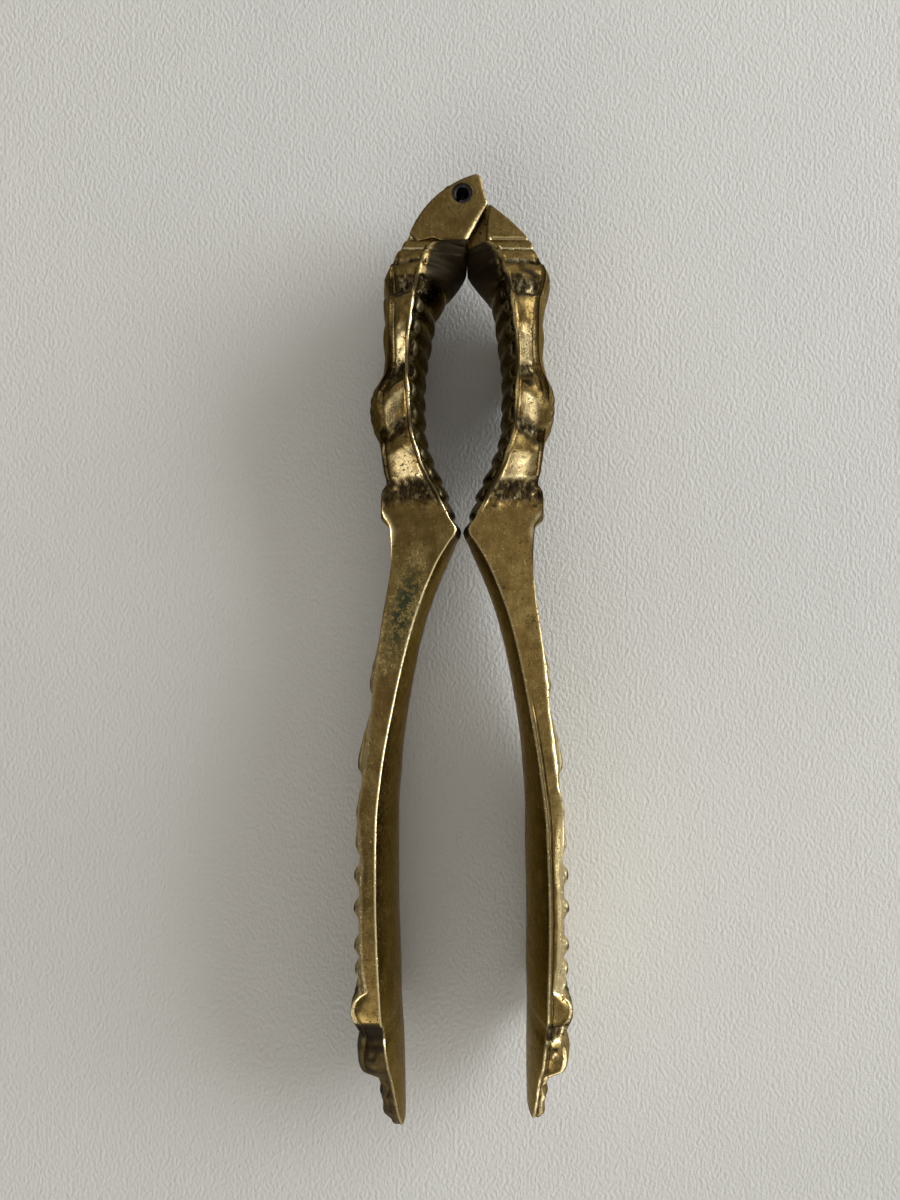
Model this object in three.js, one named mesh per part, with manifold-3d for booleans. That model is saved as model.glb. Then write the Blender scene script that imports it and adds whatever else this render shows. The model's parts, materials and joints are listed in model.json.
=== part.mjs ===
// A cast-brass lever nutcracker: a forked arm, a tongued arm and the spring pin that hinges them.
// Millimetres. +Z runs along the pin, the hinge is towards +Y and the handles towards -Y.
// Each arm is described as a right-hand arm, in axes through the middle of the pin:
// "down" is the distance below the pin, and x is the distance from the plane where the arms meet.

import * as THREE from 'three';
import { ParametricGeometry } from 'three/addons/geometries/ParametricGeometry.js';
import { mergeVertices } from 'three/addons/utils/BufferGeometryUtils.js';
import Module from 'manifold-3d';

const wasm = await Module();
wasm.setup();

// Driving dimensions
const PIN_TO_TIP = 147; // pin axis to the end of the handles
const NOSE_RISE = 3; // pin axis to the top of the hinge leaves
const ARM_WIDTH = 25; // across the jaw bosses and the handles, along the pin
const HINGE_HEIGHT = 13; // across the two fork leaves
const TONGUE_HEIGHT = 5.5;
const LEAF_CLEARANCE = 0.2; // tongue to each fork leaf
const MEETING_GAP = 0.3; // arm to arm at the knees, closed
const BACK_RADIUS = 15.5; // of the hinge leaf's curved back
const SWING_RADIUS = 8.3; // around the pin, clear for the other arm's leaf
const PIN_RADIUS = 1.5;
const PIN_WALL = 0.5;
const PIN_SLOT = 0.7;
const PIN_SLOT_TURN = THREE.MathUtils.degToRad(235);
const PIN_CHAMFER = 0.2;
const PIN_RECESS = 0.2; // pin end below the leaf's face
const BORE_RADIUS = 1.56;
const TOOTH_PITCH = 3.1; // measured along the inner face
const TOOTH_DEPTH = 0.6;
const BEAD_PITCH = 3;
const BEAD_DEPTH = 0.6;
const BEAD_COUNT = 5;
const TIP_WEAR = 2; // how much shorter the tongued arm was dressed
const MERGE_DISTANCE = 1e-4;

// Places down the arm
const SHOULDER = 1.65; // where the arm's body starts
const LEAF_END = 7.4; // lower edge of the hinge leaf
const ROOF = 10.4; // top of the nut space
const TEETH_TOP = 15;
const KNEE = 52; // where the closed arms meet, and the last tooth crest
const KNEE_EDGE = 0.95; // from the meeting plane to the knee's corner on the flat side
const BEADS_START = 104;
const BEADS_END = BEADS_START + BEAD_COUNT * BEAD_PITCH;

// Half of the arm's width along the pin. The jaw falls in terraces from its boss to the stem. The arm rests
// on the boss and on the level part of the handle.
const halfWidth = profile([
  [SHOULDER, HINGE_HEIGHT / 2],
  [LEAF_END, HINGE_HEIGHT / 2],
  [11.5, 8.4],
  [14, 10.4],
  [16.2, 9.8],
  [17.4, 11.6],
  [19, ARM_WIDTH / 2],
  [25, ARM_WIDTH / 2],
  [27.2, 10.2],
  [33.2, 10],
  [35, 8.2],
  [37, 7.9],
  [40, 8.5],
  [42.4, 8.2],
  [44.4, 6.9],
  [48.5, 7],
  [60, 7],
  [70, 7.5],
  [78, 8.5],
  [93, 11.2],
  [106, ARM_WIDTH / 2],
  [118, ARM_WIDTH / 2],
  [124, 12.2],
  [130, 11],
  [136, 9],
  [142, 6.2],
  [PIN_TO_TIP, 1.5],
]);

// The inner face where it meets the flat sides: shoulder, nut hollow, knee, bowed grip.
const innerEdge = profile([
  [SHOULDER, 4.15],
  [6.9, 3.75],
  [8.6, 5.1],
  [13, 6.25],
  [20.5, 7.45],
  [28, 8],
  [35.5, 7.7],
  [41.7, 6.1],
  [47.5, 3.15],
  [50, 1.95],
  [KNEE, KNEE_EDGE],
  [54, 2.1],
  [57, 3.9],
  [66.6, 7.6],
  [78, 10.3],
  [88.5, 12.1],
  [97, 12.8],
  [108, 12.75],
  [124, 12.05],
  [136, 10.6],
  [PIN_TO_TIP, 9.4],
]);

// How far the inner face bulges past its edges. At the roof and the knee it comes up to the other arm.
const innerCrown = profile([
  [SHOULDER, 0],
  [6.9, 0],
  [LEAF_END, 4.1 - MEETING_GAP / 2],
  [8.6, 5.1 - MEETING_GAP / 2],
  [ROOF, 5.25],
  [14.8, 3],
  [19, 2.8],
  [31.6, 2],
  [38, 1.9],
  [43, 2.1],
  [48.7, 1.3],
  [KNEE, KNEE_EDGE - MEETING_GAP / 2],
  [57, 1.6],
  [66.6, 1.7],
  [79, 2],
  [95, 2.55],
  [121, 2.3],
  [131.5, 1.6],
  [139, 1],
  [PIN_TO_TIP, 0.3],
]);

// Squareness of the inner bulge: boxy under the hinge leaf, then a plain parabola.
const innerPower = profile([
  [SHOULDER, 10],
  [8, 10],
  [ROOF, 2],
  [14.8, 2],
  [PIN_TO_TIP, 2],
]);

// The outer face where it meets the flat sides.
const outerEdge = profile([
  [SHOULDER, 4.6],
  [3.2, 6.3],
  [5, 7.8],
  [8.1, 9.8],
  [12.5, 11.4],
  [20, 11],
  [26, 11.1],
  [32, 12.5],
  [36, 12.4],
  [43, 12],
  [44.8, 11.6],
  [46.5, 12.3],
  [49, 12.3],
  [KNEE, 11],
  [57, 10.9],
  [70, 12.4],
  [78, 13.2],
  [90, 14.4],
  [97, 15],
  [BEADS_START, 14.8],
  [BEADS_END, 14.6],
  [121, 14.1],
  [125, 16],
  [128.5, 14.6],
  [131.5, 15],
  [135.5, 12],
  [141, 12],
  [PIN_TO_TIP, 10],
]);

// The highest line of the outer face's relief: jaw boss, two knobs, three leaf tips, rim, volute, lobe and shell.
const outerCrest = profile([
  [SHOULDER, 4.6],
  [3.2, 6.3],
  [5, 7.8],
  [8.1, 9.8],
  [11, 11.1],
  [14.5, 12.9],
  [19, 12.6],
  [27, 12.6],
  [29.5, 12.9],
  [33, 14.4],
  [36, 14],
  [38.5, 12.9],
  [43, 12.2],
  [44.8, 11.9],
  [46.3, 12.7],
  [49.8, 12.7],
  [KNEE, 11.2],
  [57, 11],
  [70, 12.6],
  [73, 13.6],
  [76.5, 13.8],
  [78, 13.4],
  [87, 15.5],
  [89.5, 14.9],
  [99, 15.9],
  [102, 15.2],
  [BEADS_START, 15.3],
  [105.5, 16],
  [118, 16],
  [BEADS_END, 15.3],
  [121, 15],
  [123.5, 16.5],
  [126.5, 16.6],
  [128.8, 15.2],
  [131, 15.9],
  [133.5, 15.4],
  [135.8, 12.9],
  [141, 12.8],
  [144.5, 12],
  [PIN_TO_TIP, 10.4],
]);

// Hand dressing left the two castings a little different. Each table is an offset from the shapes above.
const forkCasting = {
  end: PIN_TO_TIP,
  edge: () => 0,
  crown: profile([[SHOULDER, 0], [6.9, 0], [LEAF_END, 0.75], [ROOF, 1], [14, 1.2], [17.6, 0], [PIN_TO_TIP, 0]]),
  outer: profile([
    [SHOULDER, 0],
    [3, -0.2],
    [10, -0.7],
    [20, -0.45],
    [28, -0.35],
    [33, 0],
    [55, 0],
    [64, 0.5],
    [90, 0.6],
    [104, 0.3],
    [118, 0.2],
    [125, 0.3],
    [PIN_TO_TIP, 0],
  ]),
};

const tongueCasting = {
  end: PIN_TO_TIP - TIP_WEAR,
  edge: profile([[SHOULDER, 0], [60, 0], [88, -0.5], [106, 0], [121, 0.4], [133.5, 0.95], [PIN_TO_TIP, 1.4]]),
  crown: profile([
    [SHOULDER, 0],
    [6.9, 0],
    [LEAF_END, -0.75],
    [ROOF, -0.5],
    [14, -1],
    [24, -0.7],
    [30, -0.4],
    [40, -0.2],
    [46, 0],
    [60, 0],
    [88, -0.5],
    [106, 0],
    [PIN_TO_TIP, 0],
  ]),
  outer: profile([
    [SHOULDER, 0],
    [10, 0],
    [14, 0.6],
    [19, 0.1],
    [24, 0],
    [29, 0.4],
    [34, 0],
    [118, 0],
    [125, 0.2],
    [130, 0.6],
    [141, 0.6],
    [PIN_TO_TIP, 0.9],
  ]),
};

// A smooth curve through [down, value] pairs that never overshoots them.
function profile(points) {
  const slopes = points.slice(1).map(([down, value], i) => (value - points[i][1]) / (down - points[i][0]));
  const tangents = points.map((_, i) => {
    const before = slopes[Math.max(i - 1, 0)];
    const after = slopes[Math.min(i, slopes.length - 1)];
    return before * after > 0 ? (2 * before * after) / (before + after) : 0;
  });
  return (down) => {
    const next = Math.max(1, points.findIndex(([place]) => place >= down - MERGE_DISTANCE));
    const [start, low] = points[next - 1];
    const [end, high] = points[next];
    const span = end - start;
    const t = (down - start) / span;
    const rise = t * t * (3 - 2 * t);
    const pull = tangents[next - 1] * t * (1 - t) * (1 - t) - tangents[next] * t * t * (1 - t);
    return low + (high - low) * rise + span * pull;
  };
}

// Tooth crests and roots, top to bottom: walked up the inner face from the knee by half a pitch at a time.
function toothPlaces() {
  const stride = 0.02;
  const line = (down) => innerEdge(down) - innerCrown(down);
  const places = [KNEE];
  let walked = 0;
  for (let down = KNEE; down > TEETH_TOP; down -= stride) {
    walked += Math.hypot(stride, line(down) - line(down - stride));
    if (walked >= (places.length * TOOTH_PITCH) / 2) places.unshift(down);
  }
  return places;
}

const teeth = toothPlaces();

// 0 on a tooth root, 1 on a crest and outside the row. The last place is a crest.
function toothHeight(down) {
  const next = teeth.findIndex((place) => place >= down - MERGE_DISTANCE);
  if (next < 1) return 1;
  const t = (down - teeth[next - 1]) / (teeth[next] - teeth[next - 1]);
  const endsOnCrest = (teeth.length - 1 - next) % 2 === 0;
  return endsOnCrest ? t : 1 - t;
}

// 0 between two beads, 1 on a bead and outside the row.
function beadHeight(down) {
  const turns = (down - BEADS_START) / BEAD_PITCH;
  if (turns < 0 || turns > BEAD_COUNT) return 1;
  return 1 - Math.abs(2 * (turns - Math.floor(turns)) - 1);
}

// x of the inner face. across runs from -1 to 1 over the arm's width.
function innerFace(casting, down, across) {
  const crown = innerCrown(down) + casting.crown(down);
  const bulge = crown * (1 - Math.abs(across) ** innerPower(down));
  const notch = TOOTH_DEPTH * (1 - toothHeight(down)) * (1 - across ** 8);
  return innerEdge(down) + casting.edge(down) - bulge + notch;
}

// x of the outer face, likewise.
function outerFace(casting, down, across) {
  const edge = outerEdge(down);
  const crest = outerCrest(down) - BEAD_DEPTH * (1 - beadHeight(down));
  return edge + casting.outer(down) + (crest - edge) * (1 - across ** 6);
}

function steps(from, to, count) {
  return Array.from({ length: count }, (_, i) => from + ((to - from) * i) / count);
}

// Sections of the arm, close together where the relief is fine.
function stationList(end) {
  return [
    ...steps(SHOULDER, LEAF_END, 4),
    ...steps(LEAF_END, teeth[0], 5),
    ...teeth,
    ...steps(KNEE, 70, 9).slice(1),
    ...steps(70, BEADS_START, 18),
    ...steps(BEADS_START, BEADS_END, 2 * BEAD_COUNT),
    ...steps(BEADS_END, end, 18),
    end,
  ];
}

// The arm's body from shoulder to tip, as sections joined into one closed skin.
function armBody(casting) {
  const stations = stationList(casting.end);
  const acrossInner = [-1, -0.8, -0.5, -0.2, 0.2, 0.5, 0.8, 1];
  const acrossOuter = [1, 0.9, 0.65, 0.25, -0.25, -0.65, -0.9, -1];
  const ring = [
    ...acrossInner.map((across) => [innerFace, across]),
    ...acrossOuter.map((across) => [outerFace, across]),
  ];
  const rows = stations.length + 1;
  const surface = (u, v, target) => {
    const row = Math.round(u * rows);
    const down = stations[THREE.MathUtils.clamp(row - 1, 0, stations.length - 1)];
    if (row === 0 || row === rows) {
      const middle = (innerFace(casting, down, 1) + outerFace(casting, down, 1)) / 2;
      target.set(middle, -down, 0);
      return;
    }
    const [face, across] = ring[Math.round(v * ring.length) % ring.length];
    target.set(face(casting, down, across), -down, across * halfWidth(down));
  };
  return solid(new ParametricGeometry(surface, rows, ring.length));
}

// Centre of the arc of a given radius that runs counter-clockwise from one point to another.
function arcCentre(from, to, radius) {
  const chord = to.clone().sub(from);
  const toCentre = new THREE.Vector2(-chord.y, chord.x).normalize();
  const offset = Math.sqrt(radius ** 2 - (chord.length() / 2) ** 2);
  return from.clone().addScaledVector(chord, 0.5).addScaledVector(toCentre, offset);
}

function arcTo(outline, from, to, radius) {
  const centre = arcCentre(from, to, radius);
  const start = from.clone().sub(centre).angle();
  const end = to.clone().sub(centre).angle();
  outline.absarc(centre.x, centre.y, radius, start, end, false);
}

// A hinge leaf: an almond around the pin whose curved back runs into the arm's back.
function leafOutline(casting) {
  const backFoot = 6.2;
  const back = new THREE.Vector2(outerFace(casting, backFoot, 1), -backFoot);
  const nose = new THREE.Vector2(-2.1, NOSE_RISE);
  const outline = new THREE.Shape();
  outline.moveTo(back.x, back.y);
  arcTo(outline, back, nose, BACK_RADIUS);
  outline.quadraticCurveTo(-2.75, 2.85, -2.9, 2.2);
  outline.quadraticCurveTo(-3.25, 0.3, -3.9, -1.5);
  outline.lineTo(-0.4, -7.9);
  outline.quadraticCurveTo(1.8, -8, 4.4, -6.8);
  outline.lineTo(7, -LEAF_END);
  return outline;
}

// The room that the other arm's leaf needs: inside the swing radius, up to the shoulder's straight wall.
function swingOutline() {
  const wallTop = new THREE.Vector2(innerEdge(SHOULDER), -SHOULDER);
  const wallFoot = new THREE.Vector2(3.65, -Math.sqrt(SWING_RADIUS ** 2 - 3.65 ** 2));
  const far = -SWING_RADIUS - 2;
  const outline = new THREE.Shape();
  outline.moveTo(wallTop.x, -far);
  outline.lineTo(far, -far);
  outline.lineTo(far, -4);
  const start = new THREE.Vector2(-Math.sqrt(SWING_RADIUS ** 2 - 16), -4);
  outline.lineTo(start.x, start.y);
  arcTo(outline, start, wallFoot, SWING_RADIUS);
  outline.lineTo(wallTop.x, wallTop.y);
  return outline;
}

function slab(outline, bottom, top) {
  const geometry = new THREE.ExtrudeGeometry(outline, {
    depth: top - bottom,
    bevelEnabled: false,
    curveSegments: 10,
  });
  return solid(geometry.translate(0, 0, bottom));
}

function bore() {
  const outline = new THREE.Shape();
  outline.absarc(0, 0, BORE_RADIUS, 0, 2 * Math.PI, false);
  const geometry = new THREE.ExtrudeGeometry(outline, {
    depth: ARM_WIDTH,
    bevelEnabled: false,
    curveSegments: 16,
  });
  return solid(geometry.translate(0, 0, -ARM_WIDTH / 2));
}

// The fork: leaves above and below a slot that takes the other arm's tongue.
function forkArm() {
  const slotHalf = TONGUE_HEIGHT / 2 + LEAF_CLEARANCE;
  return armBody(forkCasting)
    .add(slab(leafOutline(forkCasting), -HINGE_HEIGHT / 2, HINGE_HEIGHT / 2))
    .subtract(slab(swingOutline(), -slotHalf, slotHalf))
    .subtract(bore());
}

// The tongue: one leaf in the middle, with room for the fork's leaves above and below it.
function tongueArm() {
  const tongueHalf = TONGUE_HEIGHT / 2;
  return armBody(tongueCasting)
    .subtract(slab(swingOutline(), tongueHalf, ARM_WIDTH))
    .subtract(slab(swingOutline(), -ARM_WIDTH, -tongueHalf))
    .add(slab(leafOutline(tongueCasting), -tongueHalf, tongueHalf))
    .subtract(bore());
}

// A slotted spring pin: a rolled strip of steel with a gap along its length and chamfered ends.
function springPin() {
  const inside = PIN_RADIUS - PIN_WALL;
  const outerTurn = Math.asin(PIN_SLOT / 2 / PIN_RADIUS);
  const innerTurn = Math.asin(PIN_SLOT / 2 / inside);
  const fullTurn = PIN_SLOT_TURN + 2 * Math.PI;
  const outline = new THREE.Shape();
  outline.absarc(0, 0, PIN_RADIUS, PIN_SLOT_TURN + outerTurn, fullTurn - outerTurn, false);
  outline.absarc(0, 0, inside, fullTurn - innerTurn, PIN_SLOT_TURN + innerTurn, true);
  const end = HINGE_HEIGHT / 2 - PIN_RECESS;
  return slab(outline, -end, end).intersect(chamferedRod(PIN_RADIUS, end, PIN_CHAMFER));
}

// A rod around Z whose ends are chamfered, a little fatter than its radius so that it only trims the ends.
function chamferedRod(radius, end, chamfer) {
  const spare = 0.1;
  const rod = new THREE.LatheGeometry([
    new THREE.Vector2(0, -end),
    new THREE.Vector2(radius - chamfer, -end),
    new THREE.Vector2(radius + spare, chamfer + spare - end),
    new THREE.Vector2(radius + spare, end - chamfer - spare),
    new THREE.Vector2(radius - chamfer, end),
    new THREE.Vector2(0, end),
  ], 40);
  return solid(rod.rotateX(Math.PI / 2));
}

// Turns a closed geometry into a solid for joining and cutting.
function solid(geometry) {
  const bare = new THREE.BufferGeometry();
  bare.setAttribute('position', geometry.getAttribute('position'));
  bare.setIndex(geometry.index);
  const merged = mergeVertices(bare, MERGE_DISTANCE);
  const corners = merged.index.array;
  const triangles = [];
  for (let i = 0; i < corners.length; i += 3) {
    const [a, b, c] = corners.slice(i, i + 3);
    if (a !== b && b !== c && c !== a) triangles.push(a, b, c);
  }
  return new wasm.Manifold(new wasm.Mesh({
    numProp: 3,
    vertProperties: merged.getAttribute('position').array,
    triVerts: Uint32Array.from(triangles),
  }));
}

// Turns a solid back into a geometry, mirrored across the meeting plane for a left-hand arm.
function geometryOf(body, mirrored) {
  const { vertProperties, triVerts } = body.getMesh();
  const positions = Float32Array.from(vertProperties);
  const corners = Uint32Array.from(triVerts);
  if (mirrored) {
    for (let i = 0; i < positions.length; i += 3) positions[i] = -positions[i];
    corners.reverse();
  }
  const geometry = new THREE.BufferGeometry();
  geometry.setAttribute('position', new THREE.BufferAttribute(positions, 3));
  geometry.setIndex(new THREE.BufferAttribute(corners, 1));
  geometry.computeVertexNormals();
  return geometry;
}

function piece(name, geometry, material) {
  const mesh = new THREE.Mesh(geometry, material);
  mesh.name = name;
  return mesh;
}

const brass = new THREE.MeshStandardMaterial({ color: 0xa58a4a, roughness: 0.38, metalness: 1 });
const wornBrass = new THREE.MeshStandardMaterial({ color: 0xa98e50, roughness: 0.36, metalness: 1 });
const darkSteel = new THREE.MeshStandardMaterial({ color: 0x3a3836, roughness: 0.5, metalness: 1 });

// The hinge group's origin is the middle of the pin. The part rests on its bosses and handle edges at z = 0.
const hinge = new THREE.Group();
hinge.position.set(0, (PIN_TO_TIP - NOSE_RISE) / 2, ARM_WIDTH / 2);
hinge.add(piece('left_arm', geometryOf(forkArm(), true), brass));
hinge.add(piece('right_arm', geometryOf(tongueArm(), false), wornBrass));
hinge.add(piece('hinge_pin', geometryOf(springPin(), false), darkSteel));

const nutcracker = new THREE.Group();
nutcracker.add(hinge);

export default nutcracker;
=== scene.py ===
"""Looks of a worn cast-brass lever nutcracker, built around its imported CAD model.

Shapes are worked out in millimetres, in axes through the middle of the hinge pin. Each arm is described as
a right-hand arm: "down" is the distance below the pin, x the distance from the plane where the arms meet,
and z the height above the middle of the arm's width. place() moves a finished mesh into the row frame.
"""

import json
import math

import bmesh
import bpy
import numpy as np
from mathutils import Matrix, Vector

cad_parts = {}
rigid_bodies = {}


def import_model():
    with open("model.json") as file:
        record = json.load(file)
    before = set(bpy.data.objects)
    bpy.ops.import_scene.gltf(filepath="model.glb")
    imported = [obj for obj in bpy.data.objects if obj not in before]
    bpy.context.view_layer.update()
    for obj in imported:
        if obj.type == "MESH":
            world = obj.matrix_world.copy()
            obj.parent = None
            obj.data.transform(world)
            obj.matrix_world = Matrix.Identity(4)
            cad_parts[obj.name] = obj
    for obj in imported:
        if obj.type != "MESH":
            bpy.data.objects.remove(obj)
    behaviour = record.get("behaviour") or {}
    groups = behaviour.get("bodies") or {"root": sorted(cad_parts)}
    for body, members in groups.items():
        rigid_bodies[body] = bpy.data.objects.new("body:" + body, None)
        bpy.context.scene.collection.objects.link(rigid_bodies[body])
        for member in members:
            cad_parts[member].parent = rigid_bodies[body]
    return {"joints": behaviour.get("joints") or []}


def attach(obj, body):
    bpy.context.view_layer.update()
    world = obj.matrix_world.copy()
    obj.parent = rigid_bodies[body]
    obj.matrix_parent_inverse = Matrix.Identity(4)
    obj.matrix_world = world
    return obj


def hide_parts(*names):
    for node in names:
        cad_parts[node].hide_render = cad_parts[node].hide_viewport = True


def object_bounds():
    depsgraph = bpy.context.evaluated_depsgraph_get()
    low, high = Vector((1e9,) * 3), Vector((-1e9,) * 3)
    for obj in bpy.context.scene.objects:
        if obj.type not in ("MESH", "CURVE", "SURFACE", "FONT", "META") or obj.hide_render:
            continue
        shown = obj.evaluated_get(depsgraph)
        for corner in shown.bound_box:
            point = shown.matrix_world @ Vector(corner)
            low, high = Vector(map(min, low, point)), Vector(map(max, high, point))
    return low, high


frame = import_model()
cad_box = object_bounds()

MM = 0.001
HINGE = frame["joints"][0]
PIN = Vector(HINGE["pos_m"])
PARENT_BODY = HINGE["parent"]
CHILD_BODY = HINGE["child"]

# The sizes that the CAD model is drawn from
PIN_TO_TIP = 147
NOSE_RISE = 3
ARM_WIDTH = 25
HINGE_HEIGHT = 13
TONGUE_HEIGHT = 5.5
LEAF_CLEARANCE = 0.2
MEETING_GAP = 0.3
BACK_RADIUS = 15.5
SWING_RADIUS = 8.3
PIN_RADIUS = 1.5
PIN_WALL = 0.5
PIN_SLOT = 0.7
PIN_SLOT_TURN = math.radians(235)
PIN_RECESS = 0.2
BORE_RADIUS = 1.56
TOOTH_PITCH = 3.1
TOOTH_DEPTH = 0.6
TIP_WEAR = 2
SHOULDER = 1.65
LEAF_END = 7.4
ROOF = 10.4
TEETH_TOP = 13
KNEE = 52
KNEE_EDGE = 0.95

# Wear and finish
STOP_GAP = 0.1
INNER_FILLET = 0.28
OUTER_FILLET = 0.45
TIP_ROUNDING = 1.6
ROLL = 2.6
BEVEL = 1.0
GROOVE_FROM_EDGE = 0.55
TOOTH_KNOB = 0.35
LEAF_ROUNDING = 0.25
LEAF_WEAR = 0.95
LEAF_MIDDLE = (1, -3.2)

# Places of the ornament along the arm, below the pin
ROSETTE = 20.5
PANEL_TOP = 102
VOLUTE = 125
LOBE_TOP = 126
LOBE_EYE = 130.6
SHELL_HINGE = 131
SHELL_TOP = 136
RIM_BEADS = (103.8, 108.6, 114.2, 117.8, 120.3)

# Hollows between the terraces of the flat sides, as (middle, reach)
HOLLOWS = ((9.1, 0.5), (11.5, 0.8), (15.6, 2.2), (28.3, 2.1), (36.6, 1.9), (45.9, 2.8), (127.2, 1.9))

# Colours and light
BRASS_QUIET = (0.160, 0.108, 0.034)
BRASS_CLEAN = (0.35, 0.252, 0.092)
BRASS_CLOUD = (0.17, 0.10, 0.028)
BRASS_BRUSHED = (0.12, 0.078, 0.024)
# Pale gold of brass rubbed bright, also used for painted highlights.
BRASS_RUBBED_AND_HIGHLIT = (0.86, 0.73, 0.42)
# Near-black of brass dark with age, also used for painted shade.
BRASS_TARNISHED_AND_SHADED = (0.028, 0.017, 0.006)
# Near-black of dirt, also used for painted shade.
GRIME_AND_SHADE = (0.012, 0.008, 0.004)
VERDIGRIS = (0.024, 0.030, 0.015)
EDGE_TINT = (0.74, 0.62, 0.42)
ROOM_COLOR = (1, 0.95, 0.87, 1)
ROOM_GLOW = 0.2


def profile(*points):
    """A smooth curve through (down, value) pairs that never overshoots them, for whole arrays at once."""
    down, value = np.array(points, float).T
    slope = np.diff(value) / np.diff(down)
    before = np.concatenate([slope[:1], slope])
    after = np.concatenate([slope, slope[-1:]])
    agree = before * after > 0
    tangent = np.where(agree, 2 * before * after / np.where(agree, before + after, 1), 0)

    def at(place):
        i = np.clip(np.searchsorted(down, place) - 1, 0, len(down) - 2)
        span = down[i + 1] - down[i]
        t = np.clip((place - down[i]) / span, 0, 1)
        rise = t * t * (3 - 2 * t)
        pull = tangent[i] * t * (1 - t) ** 2 - tangent[i + 1] * t * t * (1 - t)
        return value[i] + (value[i + 1] - value[i]) * rise + span * pull

    return at


def smooth(low, high, value):
    """0 below low, 1 above high, smooth between."""
    t = np.clip((value - low) / (high - low), 0, 1)
    return t * t * (3 - 2 * t)


def hump(centre, reach, value):
    """1 at the centre, falling smoothly to 0 at the reach."""
    return 1 - smooth(0, reach, np.abs(value - centre))


def plateau(value, start, full, fade, end):
    """1 between full and fade, sloping down to 0 at start and at end."""
    return smooth(start, full, value) * (1 - smooth(fade, end, value))


def grain(points, size, seed):
    """Smooth noise from -1 to 1 with lumps of the given size, the same on every run."""
    count = 64
    lattice = np.random.default_rng(seed).uniform(-1, 1, (count, count, count))
    cell = np.floor(points / size).astype(int)
    t = points / size - cell
    t = t * t * (3 - 2 * t)
    total = 0
    for corner in np.ndindex(2, 2, 2):
        weight = np.prod(np.where(corner, t, 1 - t), axis=-1)
        i, j, k = np.moveaxis((cell + corner) % count, -1, 0)
        total = total + weight * lattice[i, j, k]
    return total


# Half of the arm's width along the pin. On the jaw it falls in terraces: boss, lump, patch, stem.
half_width = profile(
    (SHOULDER, 6.1), (6.5, 6.1), (6.9, 5.8), (7.4, 6.6), (8.3, 7.1), (8.9, 6.9), (9.5, 8), (10.6, 8.5),
    (11.3, 8.3), (12.2, 9.7), (14, 10.4), (16.4, 9.6), (17.3, 11.7), (18.8, 12.4), (21, 12.5), (23, 12),
    (24.8, 11.1), (26.2, 10), (27.2, 9.5), (28.2, 9.3), (29.2, 10.1), (30.6, 11), (32, 10.8), (33.4, 10),
    (35, 8.6), (36.2, 7.7), (37, 8), (38, 8.7), (39.6, 8.9), (41.2, 8.4), (42.8, 7.4), (44.2, 6.7),
    (46.5, 6.7), (48.5, 7), (60, 7), (70, 7.5), (78, 8.5), (93, 11.2), (106, 12.5), (118, 12.5),
    (124, 12.4), (125.8, 12.2), (126.6, 10.9), (128.4, 10.5), (129.6, 11.2), (133, 10.7), (135.2, 9.3),
    (142, 6.2), (PIN_TO_TIP, 2.2),
)

# Half width along the thin ridge that runs down the inner edge of the jaw, over boss and hollows alike.
ridge_line = profile(
    (SHOULDER, 6.1), (7.2, 6.1), (8.6, 7.4), (12, 9.6), (17, 12), (20, 12.5), (25, 12.4), (31, 11),
    (36, 9.5), (41, 8.8), (46, 7.7), (50, 7), (PIN_TO_TIP, 0),
)

# How far the flat sides lean down towards the outer edge, per millimetre
lean = profile((SHOULDER, 0), (9, 0.02), (16, 0.07), (KNEE, 0.07), (70, 0.06), (92, 0), (PIN_TO_TIP, 0))

# The inner face where it meets the flat sides: shoulder, nut hollow, knee, bowed grip.
inner_edge = profile(
    (SHOULDER, 4.15), (6.9, 3.75), (8.6, 5.1), (13, 6.25), (20.5, 7.45), (28, 8), (35.5, 7.7), (41.7, 6.1),
    (47.5, 3.15), (50, 1.95), (KNEE, KNEE_EDGE), (54, 2.1), (57, 3.9), (66.6, 7.6), (78, 10.3),
    (88.5, 12.1), (97, 12.8), (108, 12.75), (124, 12.05), (136, 10.6), (PIN_TO_TIP, 9.4),
)

# How far the inner face bulges past its edges, and how square that bulge is.
inner_crown = profile(
    (SHOULDER, 0), (6.9, 0), (LEAF_END, 4.1 - MEETING_GAP / 2), (8.6, 5.1 - MEETING_GAP / 2), (ROOF, 5.25),
    (14.8, 3), (19, 2.8), (31.6, 2), (38, 1.9), (43, 2.1), (48.7, 1.3), (KNEE, KNEE_EDGE - MEETING_GAP / 2),
    (57, 1.6), (66.6, 1.7), (79, 2), (95, 2.55), (121, 2.3), (131.5, 1.6), (139, 1), (PIN_TO_TIP, 0.3),
)
inner_power = profile((SHOULDER, 10), (8, 10), (ROOF, 2.1), (14.8, 2), (PIN_TO_TIP, 2))

# The outer face where it meets the flat sides.
outer_edge = profile(
    (SHOULDER, 4.6), (3.2, 6.3), (5, 7.8), (8.1, 9.8), (12.5, 11.4), (20, 11), (26, 11.1), (32, 12.5),
    (36, 12.4), (43, 12), (44.8, 11.6), (46.5, 12.3), (49, 12.3), (KNEE - 0.6, 11.2), (57, 10.9),
    (70, 12.4), (78, 13.2), (90, 14.4), (94.5, 15.2), (99, 14.9), (102, 14.7), (106, 14.9), (111, 15),
    (115, 14.9), (119, 14.5), (120.6, 14.2), (121.4, 15), (122.4, 15.9), (123.6, 16.2), (124.8, 15.9),
    (125.8, 15.3), (127, 15), (128.6, 14.6), (131.5, 15), (133.6, 14.4), (135.5, 12), (141, 12),
    (PIN_TO_TIP, 10),
)

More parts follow.
